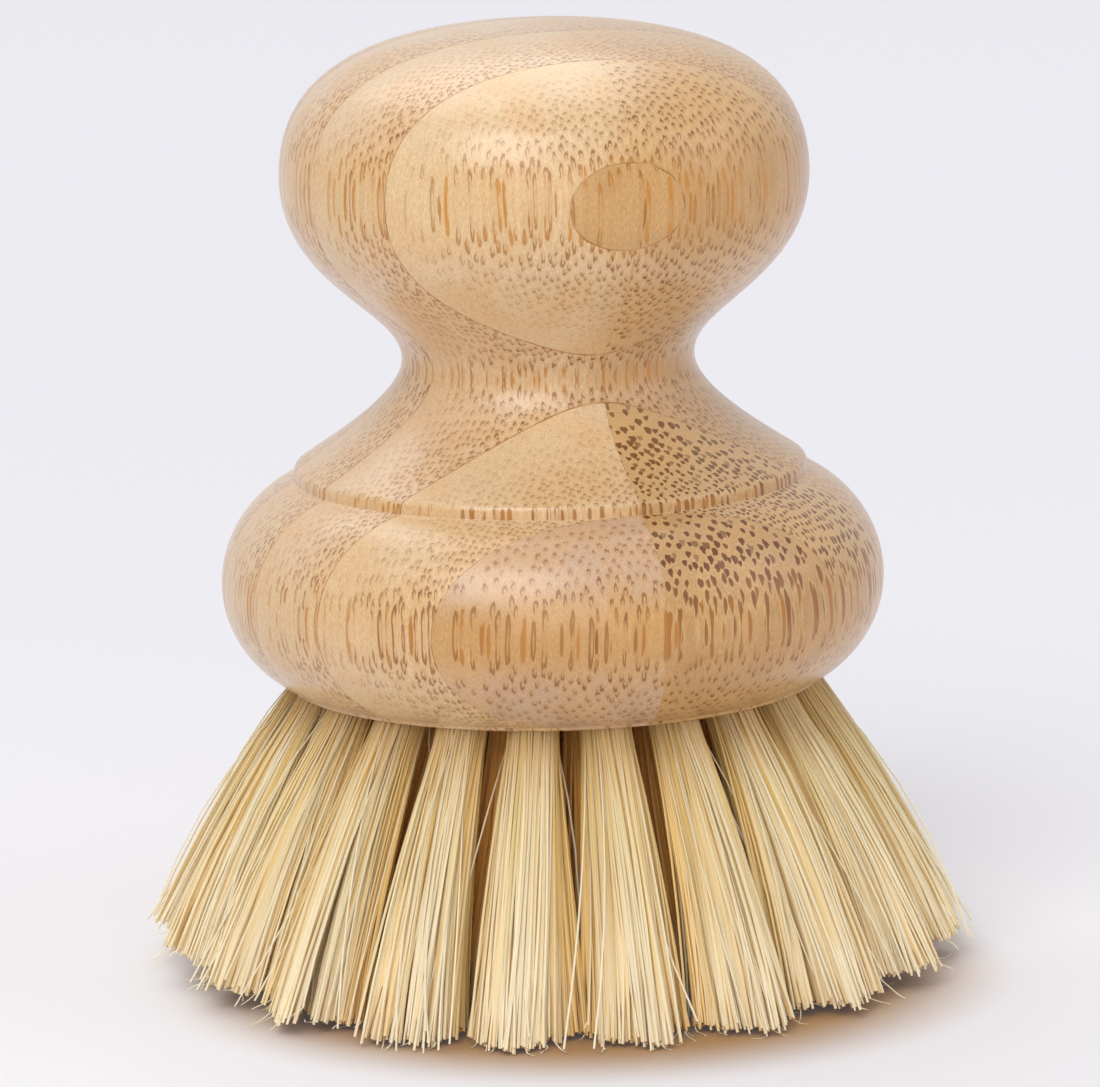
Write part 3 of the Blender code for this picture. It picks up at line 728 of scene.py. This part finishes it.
def fibre_tuft(node, ring_radius, angle, stack, count, fray_count):
    """Bundle of bent fibres for one tuft, with frayed hairs at the cut ends of its outer ones."""
    seat = seat_matrix(ring_radius, angle)
    seat_turn = seat.to_3x3()
    drop = underside / math.cos(math.atan2(ring_radius, fan_focus))
    shown = "outer" in node
    bow = fan_bow if shown else 0.0
    bm = bmesh.new()
    bm.from_mesh(stack)
    bm.verts.ensure_lookup_table()
    tone_layer = bm.verts.layers.float["tone"]
    along_layer = bm.verts.layers.float["along"]
    painted_warm_shade_layer = bm.verts.layers.float["painted_warm_shade"]
    fan = fan_reach if shown else inner_fan_reach
    sway = Vector((0.0, draws.gauss(0.0, 0.4), 0.0)) * mm
    clumps = []
    for _ in range(clump_count):
        spin = Matrix.Rotation(draws.uniform(0.0, math.tau), 3, "Z")
        middle = spin @ Vector((math.sqrt(draws.random()), 0.0, 0.0))
        clumps.append((middle, Vector((draws.gauss(0.0, 0.4), draws.gauss(0.0, 0.4), 0.0)) * mm))
    ends = []
    for i in range(count):
        share = ((i + 0.5) / count) ** packing
        spoke = i * golden_turn + draws.uniform(-0.3, 0.3)
        root = Vector((math.cos(spoke), math.sin(spoke), 0.0)) * share * bundle_radius
        stray = draws.random() < stray_share
        loose = stray_spread if stray else fibre_spread
        clump, lean = min(clumps, key=lambda pair: (pair[0] * bundle_radius - root).length_squared)
        tip = (root / bundle_radius).lerp(clump, clump_pull) * fan + lean + sway
        if shown and tip.x < 0.0:
            tip.y *= 1.25
        tip += Vector((draws.gauss(0.0, loose), draws.gauss(0.0, loose), 0.0))
        curl = Vector((draws.gauss(0.0, 1.0), draws.gauss(0.0, 1.0), 0.0))
        curl = curl * (stray_curl if stray else fibre_curl) * mm
        end = seat @ Vector((tip.x, tip.y, -drop))
        out = math.hypot(end.x, end.y)
        if out > fan_limit:
            pull = (fan_limit - draws.uniform(0.0, 0.7) * mm) / out
            end = Vector((end.x * pull, end.y * pull, end.z))
            tip = seat.inverted() @ end
        level = sole_level(end) + draws.triangular(*cut_uneven) * mm
        if stray:
            level += draws.uniform(*stray_lift) * mm
        reach = (underside - max(level, least_cut_height)) / (underside - end.z)
        inner = clamped((inner_from - share) / inner_band) if shown else hidden_inner
        # Painted warm shade: inner fibres and fibres towards the brush's middle get a golden shade
        outward = math.cos(spoke) * share
        painted_warm_shade = max(0.6 * inner, clamped((0.6 - outward) / 0.8))
        if stray:
            inner = painted_warm_shade = 0.0
        width = fibre_radius * draws.uniform(0.75, 1.25) * (thinner_stray if stray else 1.0)
        tone = draws.random() * (0.4 if stray else 1.0)
        outer_side = Vector((math.cos(spoke), math.sin(spoke), 0.0))
        twist = draws.uniform(0.0, math.tau)
        turn = Matrix.Rotation(twist, 3, "Z")
        for vert in bm.verts[i * fibre_corners:(i + 1) * fibre_corners]:
            side = turn @ Vector((vert.co.x, vert.co.y, 0.0))
            along = -vert.co.z
            travel = -root_depth + along * (drop * reach + root_depth)
            t = max(0.0, travel / drop)
            middle = root.lerp(Vector((tip.x, tip.y, 0.0)), 0.85 * t + 0.15 * t * t)
            middle += curl * (4 * t * (1.0 - t)) + Vector((bow * 4 * t * (1.0 - t), 0.0, 0.0))
            thicker = swell_root + swell_along * along if along < swell_stops else swell_end
            swell = 1.0 + inner * thicker
            vert.co = seat @ (middle + side * width * swell + Vector((0.0, 0.0, -travel)))
            hold_in(vert)
            vert[tone_layer] = tone
            # Painted warm shade also on each fibre's side turned towards the middle of its tuft
            turned_in = 0.0 if stray else clamped(0.5 - 0.8 * side.normalized().dot(outer_side))
            vert[painted_warm_shade_layer] = max(painted_warm_shade, turned_in)
            vert[along_layer] = along if shown else along - 1.0
        fibre_verts = bm.verts[i * fibre_corners:(i + 1) * fibre_corners]
        cut_end = max(fibre_verts, key=lambda vert: vert[along_layer]).co
        ends.append((cut_end.copy(), (cut_end - seat @ root).normalized()))
    for i in range(count, count + fray_count):
        base, heading = draws.choice(ends[count // 2:])
        swerve = Matrix.Rotation(draws.gauss(0.0, 0.9), 3, "Z")
        spread = swerve @ Vector((base.x, base.y, 0.0)).normalized()
        lift = draws.uniform(-0.5, 0.8)
        length = draws.uniform(*fray_lengths) * mm
        width = draws.uniform(*fray_widths) * mm
        wave = draws.uniform(*fray_waves) * mm
        for vert in bm.verts[i * fibre_corners:(i + 1) * fibre_corners]:
            side = seat_turn @ Vector((vert.co.x, vert.co.y, 0.0))
            along = -vert.co.z
            travel = (along - fray_overlap) * length
            out = length * max(0.0, along - fray_overlap) ** 1.6
            middle = base + heading * travel * 0.5 + spread * out
            middle += spread.cross((0.0, 0.0, 1.0)) * wave * math.sin(5.0 * along)
            middle.z = max(middle.z + lift * out, width)
            vert.co = middle + side * width * (1.0 - 0.5 * along)
            hold_in(vert)
            vert[tone_layer] = 0.1
            vert[along_layer] = 1.0
    bmesh.ops.recalc_face_normals(bm, faces=bm.faces)
    piece = placed(f"fibre_{node}", bm)
    piece.data.shade_flat()
    return piece


# Agave fibre is straw with a satin skin. Single fibres run from cream to gold, a few are greenish.
# Painted light and shade on top: the fibres are painted lighter towards their tips, the roots
# under the wood get a painted darker gold shade, inner fibres and sides turned inwards a painted
# warm gold shade for light that comes through real fibres, and the hidden fibres a painted bright
# gold for the warm light in the gaps between the tufts.
painted_tip_light_amount, painted_warm_shade_amount, painted_root_shade_amount = 0.85, 0.75, 0.65
straw = bpy.data.materials.new("agave_fibre")
straw.use_nodes = True
straw_tree = straw.node_tree
straw_shader = straw_tree.nodes["Principled BSDF"]
tone_value = add_node(straw_tree, "ShaderNodeAttribute", {"attribute_name": "tone"}, {})
along_value = add_node(straw_tree, "ShaderNodeAttribute", {"attribute_name": "along"}, {})
ramp = add_node(straw_tree, "ShaderNodeValToRGB", {}, {0: tone_value.outputs["Fac"]})
ramp.color_ramp.elements[0].color = linear("#ECE3C8")
ramp.color_ramp.elements[1].position = 1.0
ramp.color_ramp.elements[1].color = linear("#D8D28E")
for position, tone in ((0.45, "#E8DAB2"), (0.8, "#E5D09C"), (0.95, "#DFC482"), (0.985, "#D8B366")):
    element = ramp.color_ramp.elements.new(position)
    element.color = linear(tone)
# Painted light: the fibres are drawn lighter towards their tips
painted_tip_light_share = add_node(straw_tree, "ShaderNodeMapRange", {}, {
    0: along_value.outputs["Fac"], 1: 0.4, 2: 0.9, 3: 0.0, 4: painted_tip_light_amount,
})
with_painted_tip_light = add_node(straw_tree, "ShaderNodeMix", {"data_type": "RGBA"}, {
    0: painted_tip_light_share.outputs[0], 6: ramp.outputs[0], 7: linear("#F8EED2"),
})
# Painted warm gold shade, as set per fibre and per side in the tufts
painted_warm_shade_value = add_node(straw_tree, "ShaderNodeAttribute", {"attribute_name": "painted_warm_shade"}, {})
gold_share = add_node(straw_tree, "ShaderNodeMath", {"operation": "MULTIPLY"}, {
    0: painted_warm_shade_value.outputs["Fac"], 1: painted_warm_shade_amount,
})
shaded = add_node(straw_tree, "ShaderNodeMix", {"data_type": "RGBA"}, {
    0: gold_share.outputs[0], 6: with_painted_tip_light.outputs[2], 7: linear("#F0C56A"),
})
# Painted shade: a darker gold on the shown fibres near their roots, under the wood
painted_root_shade_ramp = add_node(straw_tree, "ShaderNodeMapRange", {"interpolation_type": "SMOOTHSTEP"}, {
    0: along_value.outputs["Fac"], 1: 0.4, 2: 0.1, 3: 0.0, 4: painted_root_shade_amount,
})
is_shown = add_node(straw_tree, "ShaderNodeMath", {"operation": "GREATER_THAN"}, {
    0: along_value.outputs["Fac"], 1: 0.0,
})
painted_root_shade_share = add_node(straw_tree, "ShaderNodeMath", {"operation": "MULTIPLY"}, {
    0: painted_root_shade_ramp.outputs[0], 1: is_shown.outputs[0],
})
with_painted_root_shade = add_node(straw_tree, "ShaderNodeMix", {"data_type": "RGBA"}, {
    0: painted_root_shade_share.outputs[0], 6: shaded.outputs[2], 7: linear("#BF9450"),
})
# Painted light: the hidden fibres turn a bright gold for the warm light between the tufts
painted_gap_light_ramp = add_node(straw_tree, "ShaderNodeMapRange", {}, {
    0: along_value.outputs["Fac"], 1: -0.25, 2: -0.02, 3: 1.0, 4: 0.0,
})
is_hidden = add_node(straw_tree, "ShaderNodeMath", {"operation": "LESS_THAN"}, {
    0: along_value.outputs["Fac"], 1: 0.0,
})
painted_gap_light_share = add_node(straw_tree, "ShaderNodeMath", {"operation": "MULTIPLY"}, {
    0: painted_gap_light_ramp.outputs[0], 1: is_hidden.outputs[0],
})
with_painted_gap_light = add_node(straw_tree, "ShaderNodeMix", {"data_type": "RGBA"}, {
    0: painted_gap_light_share.outputs[0], 6: with_painted_root_shade.outputs[2], 7: linear("#FFC268"),
})
straw_tree.links.new(with_painted_gap_light.outputs[2], straw_shader.inputs["Base Color"])
straw_shader.inputs["Roughness"].default_value = 0.5
straw_shader.inputs["Specular IOR Level"].default_value = 0.35
outer_stack = fibre_stack("outer_fibre_stack", outer_fibres + frays)
hidden_stack = fibre_stack("hidden_fibre_stack", hidden_fibres)
for tuft, ring_radius, angle in tuft_places():
    if "outer" in tuft:
        piece = fibre_tuft(tuft, ring_radius, angle, outer_stack, outer_fibres, frays)
    else:
        piece = fibre_tuft(tuft, ring_radius, angle, hidden_stack, hidden_fibres, 0)
    piece.data.materials.clear()
    piece.data.materials.append(straw)
    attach(piece, "root")
    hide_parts(tuft)


# A pale seamless table runs back behind the brush, under soft studio light: one large softbox from
# the upper left, one overhead, weak ones from the right and from low in front, and white walls.
table_size = 6.0
# Painted contact shadow: full brown within the core distance of its middle, gone at the edge
painted_shadow_middle = (-1 * mm, -11 * mm, 0.0)
painted_shadow_core, painted_shadow_edge = 25 * mm, 40 * mm
bm = bmesh.new()
bmesh.ops.create_grid(bm, x_segments=1, y_segments=1, size=table_size)
floor = placed("table", bm)

# Seamless paper: matt and pale. A painted warm brown shadow lies under and in front
# of the brush, standing in for the contact shadow and for light that comes through the fibres
paper = bpy.data.materials.new("pale_paper")
paper.use_nodes = True
paper_tree = paper.node_tree
paper_shader = paper_tree.nodes["Principled BSDF"]
paper_shader.inputs["Roughness"].default_value = 0.9
paper_shader.inputs["Specular IOR Level"].default_value = 0.2
paper_rays = add_node(paper_tree, "ShaderNodeLightPath", {}, {})
paper_seen = add_node(paper_tree, "ShaderNodeMath", {"operation": "MAXIMUM"}, {
    0: paper_rays.outputs["Is Camera Ray"], 1: paper_rays.outputs["Is Glossy Ray"],
})
paper_place = add_node(paper_tree, "ShaderNodeTexCoord", {}, {})
paper_reach = add_node(paper_tree, "ShaderNodeVectorMath", {"operation": "LENGTH"}, {
    0: paper_place.outputs["Object"],
})
paper_far = add_node(paper_tree, "ShaderNodeMapRange", {"interpolation_type": "SMOOTHSTEP"}, {
    0: paper_reach.outputs["Value"], 1: 40 * mm, 2: 300 * mm, 3: 0.05, 4: 0.85,
})
painted_shadow_reach = add_node(paper_tree, "ShaderNodeVectorMath", {"operation": "DISTANCE"}, {
    0: paper_place.outputs["Object"], 1: painted_shadow_middle,
})
# Share of the painted contact shadow
painted_shadow_share = add_node(paper_tree, "ShaderNodeMapRange", {"interpolation_type": "SMOOTHSTEP"}, {
    0: painted_shadow_reach.outputs["Value"], 1: painted_shadow_core, 2: painted_shadow_edge, 3: 1.0, 4: 0.0,
})
paper_with_painted_shadow = add_node(paper_tree, "ShaderNodeMix", {"data_type": "RGBA"}, {
    0: painted_shadow_share.outputs[0], 6: linear("#EDECF1"), 7: linear("#AA8046"),
})
paper_tree.links.new(paper_with_painted_shadow.outputs[2], paper_shader.inputs["Base Color"])
paper_share = add_node(paper_tree, "ShaderNodeMath", {"operation": "MULTIPLY"}, {
    0: paper_seen.outputs[0], 1: paper_far.outputs[0],
})
paper_glow = add_node(paper_tree, "ShaderNodeEmission", {}, {
    "Color": linear("#EDECF2"), "Strength": 1.0,
})
paper_mix = add_node(paper_tree, "ShaderNodeMixShader", {}, {
    0: paper_share.outputs[0], 1: paper_shader.outputs[0], 2: paper_glow.outputs[0],
})
paper_tree.links.new(paper_mix.outputs[0], paper_tree.nodes["Material Output"].inputs["Surface"])
floor.data.materials.append(paper)

# The walls look white to the camera and in the lustre of the wood, but light the brush less
wall_light, wall_white, wall_gloss = 0.38, 0.95, 0.7
world = bpy.data.worlds.new("studio")
bpy.context.scene.world = world
world.use_nodes = True
background = world.node_tree.nodes["Background"]
background.inputs["Color"].default_value = linear("#F7F7FA")
studio_rays = add_node(world.node_tree, "ShaderNodeLightPath", {}, {})
studio_gloss = add_node(world.node_tree, "ShaderNodeMath", {"operation": "MULTIPLY"}, {
    0: studio_rays.outputs["Is Glossy Ray"], 1: wall_gloss,
})
studio_seen = add_node(world.node_tree, "ShaderNodeMath", {"operation": "MAXIMUM"}, {
    0: studio_rays.outputs["Is Camera Ray"], 1: studio_gloss.outputs[0],
})
studio_level = add_node(world.node_tree, "ShaderNodeMapRange", {}, {
    0: studio_seen.outputs[0], 3: wall_light, 4: wall_white,
})
world.node_tree.links.new(studio_level.outputs[0], background.inputs["Strength"])


def softbox(name, place, size, power, colour):
    """Square area lamp aimed at the brush."""
    lamp = bpy.data.lights.new(name, "AREA")
    lamp.size = size
    lamp.energy = power
    lamp.color = linear(colour)[:3]
    holder = bpy.data.objects.new(name, lamp)
    aim = Vector((0.0, 0.0, view_target)) - Vector(place)
    holder.matrix_world = Matrix.Translation(place) @ aim.to_track_quat("-Z", "Y").to_matrix().to_4x4()
    bpy.context.scene.collection.objects.link(holder)


# Positions and sizes in metres, powers in watts
softbox("key_softbox", (-0.54, -0.67, 0.91), 0.72, 7.3, "#FFFDF8")
softbox("top_softbox", (0.0, 0.5, 1.15), 1.1, 7.0, "#FFFFFF")
softbox("low_softbox", (-0.3, -1.05, 0.26), 0.7, 1.9, "#FFFFFF")
softbox("fill_softbox", (0.9, -0.5, 0.5), 0.8, 1.7, "#FBFAFF")
